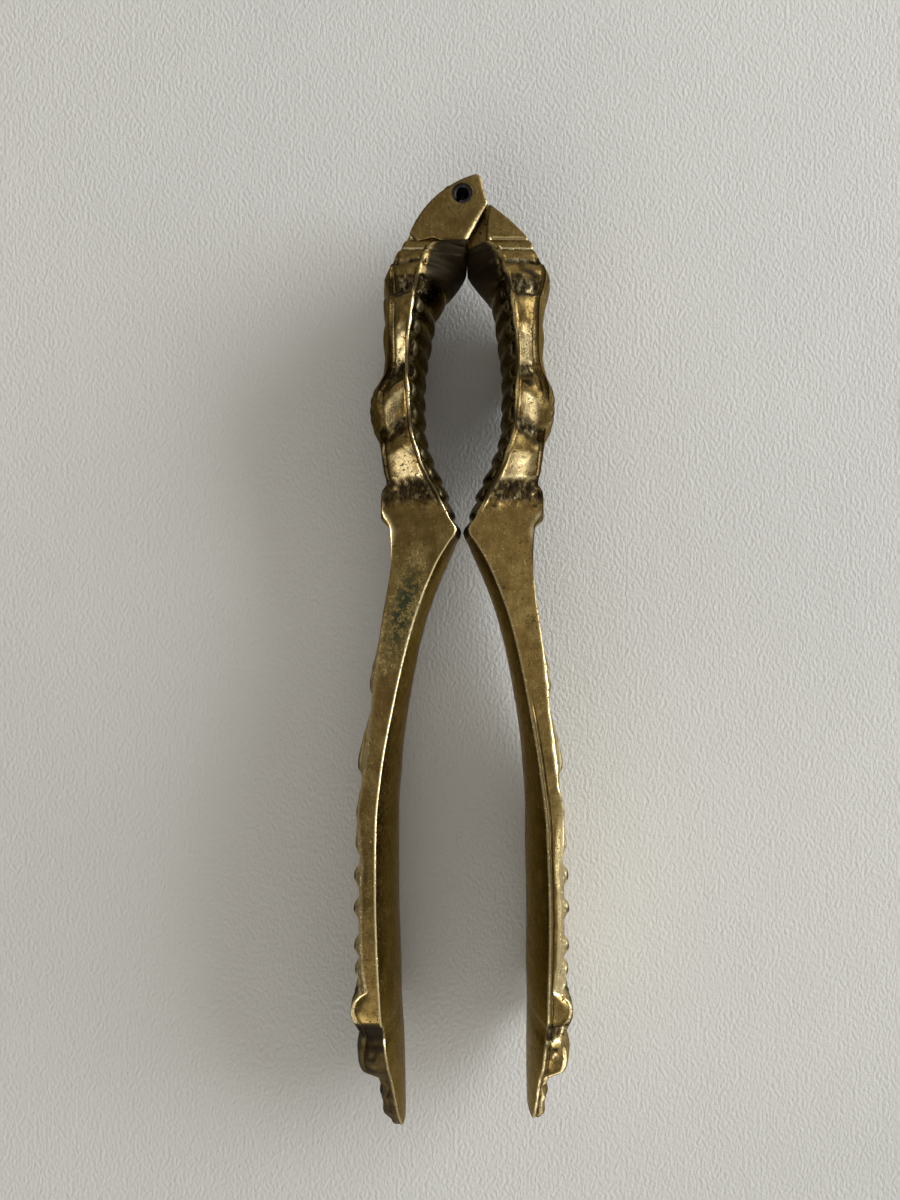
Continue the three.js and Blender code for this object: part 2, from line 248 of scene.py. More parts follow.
# The highest line of the outer relief: boss, two knobs, three leaf tips, volute, lobe and shell.
outer_crest = profile(
    (SHOULDER, 4.6), (3.2, 6.3), (5, 7.8), (8.1, 9.8), (11, 11.1), (14.5, 12.9), (19, 12.6), (27, 12.6),
    (29.5, 13.1), (32, 14.2), (34, 14.4), (36.4, 13.9), (38.5, 12.9), (43, 12.2), (44.7, 11.9), (46, 12.7),
    (50, 12.8), (51.3, 11.6), (KNEE, 11.2), (57, 11), (70, 12.6), (73.5, 13.6), (76.5, 13.9), (77.4, 13.3),
    (86, 15.3), (88.2, 15.6), (89.2, 14.8), (97, 15.6), (99.8, 15.9), (100.8, 15.2), (102.2, 15.3),
    (119, 15.3), (121, 15), (123.5, 16.5), (126.5, 16.6), (128.6, 15.1), (130.6, 15.9), (133, 15.6),
    (135.6, 12.9), (141, 12.8), (144.5, 12), (PIN_TO_TIP, 10.4),
)


class Casting:
    """What makes one casting differ from the shared shape.

    edge, crown and outer are offsets in millimetres along the arm. groove and bevel are depths on the flat
    side of the grip. bridge is the height of a web, smoothed by wear, between volute and lobe; a casting
    without one has a dark tip, and a casting with one gets painted highlights on the bevel and proud rim of
    its grip.
    The outer side of the jaw is darkened by a set amount per casting: painted shade, partly a dirty film,
    strongest on the arm away from the window.
    """

    def __init__(self, end, edge, crown, outer, groove, bevel, bridge, outer_grime_and_shade, seed):
        self.end = end
        self.edge = edge
        self.crown = crown
        self.outer = outer
        self.groove = groove
        self.bevel = bevel
        self.bridge = bridge
        self.outer_grime_and_shade = outer_grime_and_shade
        self.seed = seed
        self.dark_tip = not bridge


FORK = Casting(
    end=PIN_TO_TIP,
    edge=profile((SHOULDER, 0), (PIN_TO_TIP, 0)),
    crown=profile(
        (SHOULDER, 0), (6.9, 0), (LEAF_END, 0.75), (ROOF, 1), (14, 1.2), (17.6, 0), (PIN_TO_TIP, 0),
    ),
    outer=profile(
        (SHOULDER, 0), (3, -0.2), (10, -0.7), (20, -0.45), (28, -0.35), (33, 0), (55, 0), (64, 0.5),
        (90, 0.6), (104, 0.3), (118, 0.2), (125, 0.3), (PIN_TO_TIP, 0),
    ),
    groove=0,
    bevel=0.12,
    bridge=0,
    outer_grime_and_shade=0.8,
    seed=11,
)
TONGUE = Casting(
    end=PIN_TO_TIP - TIP_WEAR,
    edge=profile(
        (SHOULDER, 0), (60, 0), (88, -0.5), (106, 0), (121, 0.4), (133.5, 0.95), (PIN_TO_TIP, 1.4),
    ),
    crown=profile(
        (SHOULDER, 0), (6.9, 0), (LEAF_END, -0.75), (ROOF, -0.5), (14, -1), (24, -0.7), (30, -0.4),
        (40, -0.2), (46, 0), (60, 0), (88, -0.5), (106, 0), (PIN_TO_TIP, 0),
    ),
    outer=profile(
        (SHOULDER, 0), (2.8, 0.2), (4.3, 0.6), (6.6, 1.15), (8, 1), (10.2, 0.6), (13.2, 0.9), (19, 0.1),
        (24, 0), (29, 0.4), (34, 0), (118, 0), (125, 0.2), (130, 0.6), (141, 0.6), (PIN_TO_TIP, 0.9),
    ),
    groove=0.22,
    bevel=0.5,
    bridge=1,
    outer_grime_and_shade=0.3,
    seed=23,
)


def tooth_height(down):
    """0 in the notch between two jaw ribs, 1 on a rib and outside the row. Ribs are even along the face."""
    fine = np.arange(SHOULDER, KNEE + 0.02, 0.02)
    line = inner_edge(fine) - inner_crown(fine)
    length = np.concatenate([[0], np.cumsum(np.hypot(np.diff(fine), np.diff(line)))])
    to_knee = length[-1] - np.interp(down, fine, length)
    turn = np.mod(to_knee / TOOTH_PITCH, 1)
    steep = 0.32
    skewed = np.where(turn < 1 - steep, turn / (1 - steep) / 2, 1 - (1 - turn) / steep / 2)
    rib = np.abs(np.cos(math.pi * skewed)) ** 0.8
    in_row = plateau(down, TEETH_TOP - 1, TEETH_TOP + 1, KNEE - 0.3, KNEE)
    return 1 - (1 - rib) * in_row


def inner_rim(casting, down):
    """x of the edge between the inner face and a flat side."""
    return inner_edge(down) + casting.edge(down)


def outer_rim(casting, down):
    """x of the edge between the outer face and a flat side, ragged on the grip and notched on the shell."""
    notch_pitch = 3.3
    turn = (down - SHELL_TOP + 0.2) * math.pi / notch_pitch
    notches = 0.45 * np.abs(np.sin(turn)) * smooth(SHELL_TOP, SHELL_TOP + 1, down)
    ragged = 0.05 * np.sin(down * 1.7 + casting.seed) * np.sin(down * 0.61) * smooth(60, 75, down)
    return outer_edge(down) + casting.outer(down) + ragged - notches


def inner_face(casting, down, across):
    """x of the inner face. across runs from -1 to 1 over the arm's width. The ribs end in knobs."""
    most = inner_edge(down) - MEETING_GAP / 2
    crown = np.minimum(inner_crown(down), most) + casting.crown(down)
    bulge = crown * (1 - np.abs(across) ** inner_power(down))
    ribs = tooth_height(down + 0.12 * np.sin(across * 5 + down + casting.seed))
    in_row = plateau(down, 14, 17, 46, 49)
    knob = TOOTH_KNOB * hump(0.84, 0.13, np.abs(across)) * (ribs - 0.3) * in_row
    notch = TOOTH_DEPTH * (1 - ribs) * (1 - np.abs(across) ** 14)
    return inner_rim(casting, down) - bulge + notch - knob


def chevrons(down, z, pitch, sweep):
    """Leaf veins: grooves that run outwards and down from the middle rib."""
    return (0.5 - 0.5 * np.cos(2 * math.pi * (down - sweep * np.abs(z)) / pitch)) ** 3


def rosette(down, z):
    """Eight petals round a button, on the boss of the jaw."""
    away = np.hypot(down - ROSETTE, z * 0.8)
    turn = np.arctan2(z * 0.8, down - ROSETTE)
    petals = plateau(away, 2.2, 3.2, 7, 9) * np.abs(np.sin(4 * turn)) ** 0.5
    return hump(ROSETTE, 9, down) * 0.75 * (1 - petals) * plateau(away, 1.6, 2.4, 8, 9.5)


def fluted_panel(down, z):
    """A sunk panel with round flutes, inside the beaded rim of the grip."""
    across = np.abs(z) / half_width(down)
    flutes = np.abs(np.sin(math.pi * z / 2.6)) ** 0.7
    inside = plateau(down, PANEL_TOP, PANEL_TOP + 2, 118, 120.5) * (1 - smooth(0.74, 0.8, across))
    return inside * (1.1 - 0.6 * flutes)


def volutes(down, z):
    """Two scrolls, one near either side."""
    aside = np.abs(z) - 7
    curl = np.hypot(down - VOLUTE, aside)
    spin = np.arctan2(down - VOLUTE, aside)
    return 0.7 * (1 - smooth(3.6, 4.6, curl)) * (0.5 - 0.5 * np.cos(spin + 2 * math.pi * curl / 1.9)) ** 2


def shell(down, z):
    """A ribbed fan that spreads towards the tip."""
    fan = np.arctan2(z, down - SHELL_HINGE)
    return smooth(134.5, SHELL_TOP, down) * 0.5 * (1 - np.abs(np.cos(6.5 * fan)) ** 0.6)


def ornament(down, z):
    """How deep the outer relief is carved below its highest line, in millimetres."""
    scales = plateau(down, 27, 30, 49, 51) * 0.45 * chevrons(down, z, 2.4, 0.8)
    leaves = plateau(down, 60, 74, 99, PANEL_TOP) * 0.5 * chevrons(down, z, 3.6, 1.1)
    stem = 0.35 * hump(0.75, 0.5, np.abs(z)) * plateau(down, KNEE, 60, 100, PANEL_TOP)
    carved = rosette(down, z) + scales + leaves + stem
    return carved + fluted_panel(down, z) + volutes(down, z) + shell(down, z)


def rim_beads(down):
    """Height of the uneven beads along the rim of the handle."""
    return sum(0.8 * hump(place, 1.7, down) for place in RIM_BEADS)


def outer_face(casting, down, across):
    """x of the outer face with its relief. across runs from -1 to 1 over the arm's width."""
    aside = np.abs(across)
    on_rim = plateau(down, PANEL_TOP, PANEL_TOP + 1, 120.5, 121.5)
    beads = rim_beads(down) * on_rim * plateau(aside, 0.72, 0.8, 0.93, 1)
    swell = (outer_crest(down) - outer_edge(down)) * (1 - across ** 6)
    carved = ornament(down, across * half_width(down)) * (1 - smooth(0.8, 0.96, aside))
    return outer_rim(casting, down) + swell + beads - carved


def on_terraces(down):
    """1 along the jaw, where the flat sides fall in terraces."""
    return plateau(down, 9, 12, 48, 50)


def on_bevel(down):
    """1 along the grip, where the outer edge of the flat side is bevelled."""
    return plateau(down, 90, 104, 119, 123)


def on_grooved_grip(down):
    """1 along the grip, where a groove runs beside the inner edge."""
    return smooth(76, 86, down)


def terrace_place(casting, down, u, up):
    """The place whose terrace shows at this point: the terraces end in uneven, slanting scallops."""
    slant = 2.6 * (0.5 - u) * plateau(down, 29, 31, 37, 42)
    scallop = 0.9 * (2 * u - 1.1) ** 2 - 0.3
    uneven = 0.4 * np.sin(5 * u + casting.seed + up)
    return down + (slant + scallop + uneven) * on_terraces(down)


def pitted(casting, down, u, up):
    """1 in the rough hollows between the terraces."""
    place = terrace_place(casting, down, u, up)
    return np.clip(1.6 * sum(hump(middle, reach, place) for middle, reach in HOLLOWS), 0, 1)


def side_height(casting, down, u, up):
    """Height of the flat side. u runs from 0 at the inner edge to 1 at the outer edge; up is 1 or -1."""
    span = outer_rim(casting, down) - inner_rim(casting, down)
    across = u * span
    from_back = span - across
    at = np.stack(np.broadcast_arrays(across, down, u * 0 + casting.seed + up * 3.3), axis=-1)
    rough = on_terraces(down)
    hollow = pitted(casting, down, u, up)
    terrace = half_width(terrace_place(casting, down, u, up)) - lean(down) * across
    lumps = 0.32 * grain(at, 2.3, casting.seed) + 0.12 * grain(at, 1.1, casting.seed + 3)
    grit = hollow * (0.34 * grain(at, 0.7, casting.seed + 2) - 0.25)
    ripple = 0.05 * grain(at, 4, casting.seed + 1)
    to_back = np.clip((ROLL - from_back) / ROLL, 0, 1)
    rolled = rough * (1 - smooth(42, 45, down)) + smooth(120.5, 122, down)
    roll = 0.9 * (1 - np.sqrt(1 - 0.9 * to_back ** 2)) * rolled
    groove = casting.groove * hump(GROOVE_FROM_EDGE, 0.28, across) * on_grooved_grip(down)
    bevel = casting.bevel * np.clip((BEVEL - from_back) / BEVEL, 0, 1) * on_bevel(down)
    bridge = casting.bridge * hump(127.5, 2.2, down) * (1 - smooth(0.3, 0.65, u))
    off_eye = np.hypot(down - LOBE_EYE, from_back - 1.7)
    eye = 0.25 * np.cos(2.6 * off_eye) * hump(0, 1.7, off_eye)
    height = terrace + rough * (lumps + grit) + bridge - roll - ripple - groove - bevel - eye
    ridge = ridge_line(down) * (down < KNEE)
    height = height + np.maximum(ridge - height, 0) * (1 - smooth(0.2, 0.6, across))
    return np.minimum(height, ARM_WIDTH / 2)


def station_list(end):
    """Places of the arm's sections, close together where the relief is fine."""
    spans = [(SHOULDER, 6, 0.5), (6, KNEE, 0.25), (KNEE, 70, 0.7), (70, 98, 0.42), (98, end, 0.28)]
    steps = [np.linspace(a, b, round((b - a) / step), endpoint=False) for a, b, step in spans]
    return np.concatenate(steps + [[end]])[:, None]


def fillet(start, corner, finish, count):
    """Points of a rounded corner between two places on either side of it, for every section at once."""
    t = np.linspace(0, 1, count + 2)[1:-1]
    return [(1 - k) ** 2 * start + 2 * k * (1 - k) * corner + k * k * finish for k in t]


def half_ring(casting, down, up):
    """From the middle of the inner face over one flat side to the middle of the outer face."""
    width = half_width(down)
    inner_x = inner_rim(casting, down)
    outer_x = outer_rim(casting, down)
    spread = np.sin(np.linspace(0, math.pi / 2, 30))
    inner_a = spread * (1 - INNER_FILLET / width)
    outer_a = spread * (1 - OUTER_FILLET / width)
    u = np.linspace(0, 1, 34) ** 1.4
    side_x = inner_x + INNER_FILLET + (outer_x - inner_x - INNER_FILLET - OUTER_FILLET) * u
    inner = np.stack([inner_face(casting, down, inner_a), inner_a * width * up], axis=-1)
    outer = np.stack([outer_face(casting, down, outer_a), outer_a * width * up], axis=-1)
    side = np.stack([side_x, side_height(casting, down, u, up) * up], axis=-1)
    inner_corner = np.stack([inner_x, side[:, :1, 1]], axis=-1)[:, 0]
    outer_corner = np.stack([outer_x, side[:, -1:, 1]], axis=-1)[:, 0]
    first = np.stack(fillet(inner[:, -1], inner_corner, side[:, 0], 3), axis=1)
    second = np.stack(fillet(side[:, -1], outer_corner, outer[:, -1], 3), axis=1)
    return np.concatenate([inner, first, side, second, outer[:, ::-1]], axis=1)


def arm_body(casting):
    """The arm from shoulder to tip as one closed skin, without its hinge leaf. Its faces point inwards."""
    down = station_list(casting.end)
    upper = half_ring(casting, down, 1)
    lower = half_ring(casting, down, -1)
    ring = np.concatenate([upper, lower[:, -2:0:-1]], axis=1)
    middle = ring.mean(axis=1, keepdims=True)
    left = np.clip((casting.end - down) / TIP_ROUNDING, 0, 1)[:, :, None]
    ring = middle + (ring - middle) * np.sqrt(1 - (1 - left) ** 2 * 0.96)
    rows, cols = ring.shape[:2]
    y = np.broadcast_to(-down, (rows, cols))
    points = np.stack([ring[..., 0], y, ring[..., 1]], axis=-1).reshape(-1, 3)
    ends = [[middle[0, 0, 0], -down[0, 0], 0], [middle[-1, 0, 0], -down[-1, 0], 0]]
    points = np.concatenate([points, ends])
    i = np.arange(rows - 1)[:, None] * cols
    j = np.arange(cols)
    k = (j + 1) % cols
    quads = np.stack(np.broadcast_arrays(i + j, i + k, i + cols + k, i + cols + j), axis=-1).reshape(-1, 4)
    last = (rows - 1) * cols
    top, tip = rows * cols, rows * cols + 1
    fans = [[top, b, a] for a, b in zip(j, k)] + [[tip, last + a, last + b] for a, b in zip(j, k)]
    return mesh_object("arm_body", points, quads.tolist() + fans)


def mesh_object(name, points, faces):
    """A new object in the scene, made of points and faces."""
    mesh = bpy.data.meshes.new(name)
    mesh.from_pydata(np.asarray(points).tolist(), [], faces)
    obj = bpy.data.objects.new(name, mesh)
    bpy.context.scene.collection.objects.link(obj)
    return obj


def arc(start, finish, radius, count):
    """Points of a counter-clockwise arc from start to finish, finish left out."""
    chord = finish - start
    to_centre = Vector((-chord.y, chord.x)).normalized()
    centre = start + chord / 2 + to_centre * math.sqrt(radius ** 2 - (chord.length / 2) ** 2)
    first = (start - centre).to_tuple()
    angle = math.atan2(first[1], first[0])
    last = math.atan2(*(finish - centre).yx)
    sweep = (last - angle) % (2 * math.pi)
    turns = [angle + sweep * i / count for i in range(count)]
    return [centre + radius * Vector((math.cos(t), math.sin(t))) for t in turns]


def curve(start, control, finish, count):
    """Points of a quadratic curve, finish left out."""
    start, control, finish = Vector(start), Vector(control), Vector(finish)
    ts = [i / count for i in range(count)]
    return [(1 - t) ** 2 * start + 2 * t * (1 - t) * control + t * t * finish for t in ts]


def leaf_outline(casting):
    """The almond round the pin, whose curved back runs into the arm's back and clears the other arm's."""
    foot = 6.2
    inside = min(float(casting.outer(foot)), 0)
    back = Vector((float(outer_edge(foot)) + inside, -foot))
    nose = Vector((-2.1, NOSE_RISE))
    below_nose = (-2.9, 2.2)
    far_side = (-3.9, -1.5)
    point = (-0.4, -7.9)
    heel = (4.4, -6.8)
    root = (7, -LEAF_END)
    return (
        arc(back, nose, BACK_RADIUS, 24)
        + curve(nose, (-2.75, 2.85), below_nose, 6)
        + curve(below_nose, (-3.25, 0.3), far_side, 6)
        + curve(far_side, (-2.1, -4.7), point, 8)
        + curve(point, (1.8, -8), heel, 8)
        + curve(heel, (5.7, -7.1), root, 2)
        + [Vector(root)]
    )


def swing_outline():
    """The room that the other arm's leaf needs as it turns: round below, open above."""
    wall = 3.65
    side_foot = -4
    far = SWING_RADIUS + 2
    shoulder = float(inner_edge(SHOULDER)) + STOP_GAP / 2
    corner = Vector((-math.sqrt(SWING_RADIUS ** 2 - side_foot ** 2), side_foot))
    wall_foot = Vector((wall, -math.sqrt(SWING_RADIUS ** 2 - wall ** 2)))
    loop = [Vector((shoulder, far)), Vector((-far, far)), Vector((-far, side_foot))]
    return loop + arc(corner, wall_foot, SWING_RADIUS, 20) + [wall_foot, Vector((shoulder, -SHOULDER))]


def circle(radius, count=48):
    """Points of a circle round the pin."""
    turns = [2 * math.pi * i / count for i in range(count)]
    return [radius * Vector((math.cos(t), math.sin(t))) for t in turns]


def slab(outline, bottom, top):
    """A plain prism over an outline."""
    return skin([[(p.x, p.y, height) for p in outline] for height in (bottom, top)])


def skin(rings):
    """A closed skin over rings of points, each with a cap at either end."""
    count = len(rings[0])
    points = [point for ring in rings for point in ring]
    last = len(points) - count
    faces = [tuple(range(count))[::-1], tuple(range(last, last + count))]
    for start in range(0, last, count):
        for i in range(count):
            a, b = start + i, start + (i + 1) % count
            faces.append((a, b, b + count, a + count))
    return mesh_object("skin", points, faces)


def even_steps(outline, step):
    """The same outline with extra points, so that none are further apart than a step."""
    places = []
    for a, b in zip(outline, outline[1:] + outline[:1]):
        count = max(1, math.ceil((b - a).length / step))
        places += [a.lerp(b, i / count) for i in range(count)]
    return places


def rub_of(x, y):
    """1 along the edge of a hinge leaf that rubs past the other arm, 0 elsewhere."""
    return smooth(1.2, 4.5, -y) * (1 - smooth(-0.9, 0.4, x + 0.55 * (y + 7.9)))


def leaf(casting, bottom, top):
    """A hinge leaf with rims rounded by wear, most of all along the edge that rubs past the other arm."""
    outline = np.array([p.to_tuple() for p in even_steps(leaf_outline(casting), 0.35)])
    along = np.roll(outline, -2, axis=0) - np.roll(outline, 2, axis=0)
    inward = np.stack([-along[:, 1], along[:, 0]], axis=-1)
    inward /= np.linalg.norm(inward, axis=1, keepdims=True)
    x, y = outline.T
    rounding = LEAF_ROUNDING + (LEAF_WEAR - LEAF_ROUNDING) * rub_of(x, y)
    middle = np.array(LEAF_MIDDLE)
    rings = []
    for turn in np.linspace(0, math.pi / 2, 7):
        inset = rounding * (1 - math.cos(turn) ** 1.5)
        drop = 0.62 * rounding * (1 - math.sin(turn) ** 1.5)
        rings.append((outline + inward * inset[:, None], drop))
    rim = rings[-1][0]
    rings += [(middle + (rim - middle) * share, 0 * x) for share in np.linspace(0.94, 0.05, 14)]
    upper = [np.column_stack([ring, top - drop]) for ring, drop in rings]
    lower = [np.column_stack([ring, bottom + drop]) for ring, drop in reversed(rings)]
    return skin([ring.tolist() for ring in lower + upper])


def combine(body, steps):
    """Applies a list of (operation, other solid) to a body and removes the other solids."""
    for operation, other in steps:
        cut = body.modifiers.new(operation, "BOOLEAN")
        cut.operation = operation
        cut.object = other
        cut.solver = "MANIFOLD"
    graph = bpy.context.evaluated_depsgraph_get()
    mesh = bpy.data.meshes.new_from_object(body.evaluated_get(graph))
    body.modifiers.clear()
    body.data = mesh
    for _, other in steps:
        bpy.data.objects.remove(other)


def fork_arm():
    """The arm whose two leaves hold the other arm's leaf in the slot between them."""
    body = arm_body(FORK)
    slot_half = TONGUE_HEIGHT / 2 + LEAF_CLEARANCE
    combine(body, [
        ("UNION", leaf(FORK, -HINGE_HEIGHT / 2, HINGE_HEIGHT / 2)),
        ("DIFFERENCE", slab(swing_outline(), -slot_half, slot_half)),
        ("DIFFERENCE", slab(circle(BORE_RADIUS), -ARM_WIDTH, ARM_WIDTH)),
    ])
    return body


def tongue_arm():
    """The arm whose one leaf turns in the fork's slot."""
    body = arm_body(TONGUE)
    tongue_half = TONGUE_HEIGHT / 2
    combine(body, [
        ("DIFFERENCE", slab(swing_outline(), tongue_half, ARM_WIDTH)),
        ("DIFFERENCE", slab(swing_outline(), -ARM_WIDTH, -tongue_half)),
        ("UNION", leaf(TONGUE, -tongue_half, tongue_half)),
        ("DIFFERENCE", slab(circle(BORE_RADIUS), -ARM_WIDTH, ARM_WIDTH)),
    ])
    return body


def spring_pin():
    """A rolled strip of steel with a gap along it: a C section swept along the pin, with rounded ends."""
    end = HINGE_HEIGHT / 2 - PIN_RECESS
    middle = PIN_RADIUS - PIN_WALL / 2
    rounding = 0.12
    half_wall = PIN_WALL / 2
    gap = math.asin(PIN_SLOT / 2 / middle)
    turns = np.linspace(PIN_SLOT_TURN + gap, PIN_SLOT_TURN + 2 * math.pi - gap, 61)
    section = []
    for radial, z in ((1, 1), (-1, 1), (-1, -1), (1, -1)):
        start = math.atan2(z, radial) - math.pi / 4
        for step in np.linspace(0, math.pi / 2, 5):
            off = rounding * math.cos(start + step), rounding * math.sin(start + step)
            section.append((radial * (half_wall - rounding) + off[0], z * (end - rounding) + off[1]))
    points = [
        ((middle + r) * math.cos(t), (middle + r) * math.sin(t), z) for t in turns for r, z in section
    ]
    count = len(section)
    return skin([points[row:row + count] for row in range(0, len(points), count)])


def place(obj, name, node, body, slot, mirrored=False):
    """Moves a finished mesh into the row frame, where it stands for a CAD node."""
    flip = -1 if mirrored else 1
    obj.data.transform(Matrix.Translation(PIN) @ Matrix.Diagonal((MM * flip, MM, MM, 1)))
    if mirrored:
        obj.data.flip_normals()
    obj.name = obj.data.name = name
    obj.data.shade_smooth()
    obj.data.set_sharp_from_angle(angle=math.radians(38))
    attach(obj, body)
    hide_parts(node)


def points_of(obj):
    """Vertices of an object in millimetres, in the arm's own axes."""
    flat = np.empty(len(obj.data.vertices) * 3, np.float32)
    obj.data.vertices.foreach_get("co", flat)
    return flat.reshape(-1, 3).astype(float)


def hollowness(obj, rounds):
    """How far the smoothed surface lies from each vertex along its normal. More rounds smooth it wider.

    In millimetres. Faces of a hinge leaf point outwards, so there it is positive in hollows. Faces of the
    arm's body point inwards, so there it is positive on ridges and negative in grooves.
    """
    points = points_of(obj)
    normals = np.empty(len(points) * 3, np.float32)
    obj.data.vertices.foreach_get("normal", normals)
    edges = np.empty(len(obj.data.edges) * 2, np.int32)
    obj.data.edges.foreach_get("vertices", edges)
    a, b = edges.reshape(-1, 2).T
    both, other = np.concatenate([a, b]), np.concatenate([b, a])
    near = (np.linalg.norm(points[a] - points[b], axis=1) < 1.2).astype(float)
    weight = np.concatenate([near, near])
    total = np.bincount(both, weight, len(points)) + 1e-9
    soft = points.copy()
    for _ in range(rounds):
        mean = np.stack([np.bincount(both, weight * line, len(points)) for line in soft[other].T], axis=-1)
        soft = 0.4 * soft + 0.6 * mean / total[:, None]
    return np.einsum("ij,ij->i", soft - points, normals.reshape(-1, 3))


def paint(obj, name, values):
    """Stores a value from 0 to 1 at every vertex, for a material to read by name."""
    layer = obj.data.attributes.new(name, "FLOAT", "POINT")
    layer.data.foreach_set("value", np.clip(values, 0, 1).astype(np.float32))


class Surface:
    """Where each vertex of an arm lies, on which of its faces, and its hollowness."""

    def __init__(self, obj, casting):
        self.points = points_of(obj)
        self.x, self.y, z = self.points.T
        self.down, self.up, self.height = -self.y, np.sign(z), np.abs(z)
        self.across = self.height / half_width(self.down)
        self.fine_relief = hollowness(obj, 14)
        self.wide_relief = hollowness(obj, 90)
        inner_x = inner_rim(casting, self.down)
        outer_x = outer_rim(casting, self.down)
        self.from_inner = self.x - inner_x
        self.from_outer = self.x - outer_x
        self.u = np.clip(self.from_inner / (outer_x - inner_x), 0, 1)
        side = side_height(casting, self.down, self.u, self.up)
        inner_z = side_height(casting, self.down, 0 * self.u, self.up)
        outer_z = side_height(casting, self.down, 0 * self.u + 1, self.up)
        past_leaf = self.down > np.where(np.abs(self.x) < 5, LEAF_END, 0)
        on_arm = smooth(SHOULDER, SHOULDER + 1, self.down) * past_leaf
        self.on_side = hump(0, 0.35, self.height - side) * smooth(-0.1, 0.1, self.from_inner) * on_arm
        below_rim = 1 - smooth(inner_z - 0.5, inner_z - 0.15, self.height)
        self.on_inner = (1 - smooth(0.1, 0.5, self.from_inner)) * below_rim
        near_edge = hump(0, 0.4, np.hypot(self.from_inner, self.height - inner_z))
        self.inner_edge = near_edge * on_arm * (0.5 + 0.5 * smooth(14, 20, self.down))
        self.outer_edge = hump(0, 0.6, np.hypot(self.from_outer, self.height - outer_z))
        self.terraces = on_terraces(self.down) * (1 - self.on_inner)
        self.bands = pitted(casting, self.down, self.u, self.up) * self.on_side
        self.hinge = 1 - smooth(7.2, 7.6, self.down)
        self.jaw = plateau(self.down, 6.5, 8, 51, KNEE + 1) * self.on_inner
        self.grip = smooth(KNEE + 1, KNEE + 4, self.down) * self.on_inner
        # The web: the roof between the arms under the leaf, which lies in shadow; its darkening is painted
        # shade.
        self.web = smooth(0.3, 1, -self.from_inner) * plateau(self.down, 6.9, LEAF_END, 12, 15)
        in_tip = smooth(LOBE_TOP - 0.4, LOBE_TOP + 0.4, self.down) * (1 - self.on_inner)
        self.tip = in_tip * casting.dark_tip


def lips(s, casting):
    """Painted highlights on the lower ends of the terraces, where they curve down into a hollow and face the
    light from the front.
    """
    place = terrace_place(casting, s.down, s.u, s.up)
    fall = half_width(place - 0.3) - half_width(place + 0.3)
    spotty = 0.7 + 0.3 * grain(s.points, 1.3, casting.seed + 4)
    return plateau(fall, 0.12, 0.3, 0.6, 0.9) * hump(0.5, 0.45, s.u) * s.terraces * spotty


def wear_and_highlights(s, casting):
    """How far each vertex is bright: wear on edges, beads, the body's grooves and the leaf's rims, and
    painted highlights.
    """
    bright = smooth(0.02, 0.12, -s.fine_relief)
    rubbed_and_highlit = bright * (1 - 0.6 * s.bands) * (1 - s.web) * (1 - s.hinge) * (1 - s.grip)
    # The inner edge, and the outer edge of the grip, are bright with wear and painted as highlight lines.
    rubbed_and_highlit = rubbed_and_highlit + s.inner_edge + 0.6 * s.outer_edge * smooth(60, 80, s.down)
    rubbed_and_highlit = rubbed_and_highlit * (1 - 0.75 * smooth(0.6, 0.9, s.u) * on_terraces(s.down))
    # Painted sheen: broad dips across the middle of the terraces are lightened.
    dips = smooth(0.1, 0.5, -s.wide_relief) * hump(0.45, 0.5, s.u)
    # Painted highlights on the lower lips of the terraces.
    rubbed_and_highlit = rubbed_and_highlit + 0.6 * dips * s.terraces * (1 - s.bands) + 0.9 * lips(s, casting)
    # Painted highlight along the grip's bevel, only on the casting with a bridge, the arm that faces the
    # window. The proud relief of the grip is bright with wear, and brighter on that arm as painted
    # highlight.
    bevelled = on_bevel(s.down) * smooth(-BEVEL, -0.8 * BEVEL, s.from_outer)
    proud = smooth(0.2, 0.7, s.from_outer) * plateau(s.down, 60, 72, 128, 130)
    rubbed_and_highlit = rubbed_and_highlit + 0.6 * casting.bridge * bevelled + (0.45 + 0.4 * casting.bridge) * proud
    rubbed_and_highlit = rubbed_and_highlit * (1 - 0.8 * s.tip * (1 - s.inner_edge))
    # Painted glints on the knobs at the ends of the jaw's ribs.
    knobs = s.jaw * hump(0.85, 0.13, s.across) * (tooth_height(s.down) - 0.35)
    # The leaf's rim along the edge that rubs past the other arm is bright with wear and painted highlight.
    leaf_rim = hump(0, 0.6, HINGE_HEIGHT / 2 - s.height) * rub_of(s.x, s.y)
    return rubbed_and_highlit + knobs + s.hinge * (0.35 * bright + leaf_rim)


def grime_and_painted_shade(s, casting):
    """How far each vertex is darkened: dirty on the body's ridges, in its rough bands and round the pin, in
    painted shade on the web, and on a darker tip.
    """
    settled = smooth(0.03, 0.17, s.fine_relief) * (0.4 + 0.6 * smooth(11, 15, s.down))
    settled = settled * (1 - s.grip) * (1 - s.inner_edge)
    round_pin = hump(BORE_RADIUS, 0.7, np.hypot(s.x, s.y))
    in_groove = hump(GROOVE_FROM_EDGE, 0.3, s.from_inner) * s.on_side * on_grooved_grip(s.down)
    dark_tip = 0.6 * s.tip * (1 - s.inner_edge)
    # The web's share is painted shade.
    grime_and_shade = settled + 0.7 * round_pin + 0.5 * s.bands + 0.9 * s.web + dark_tip
    return grime_and_shade + in_groove * (casting.groove > 0)


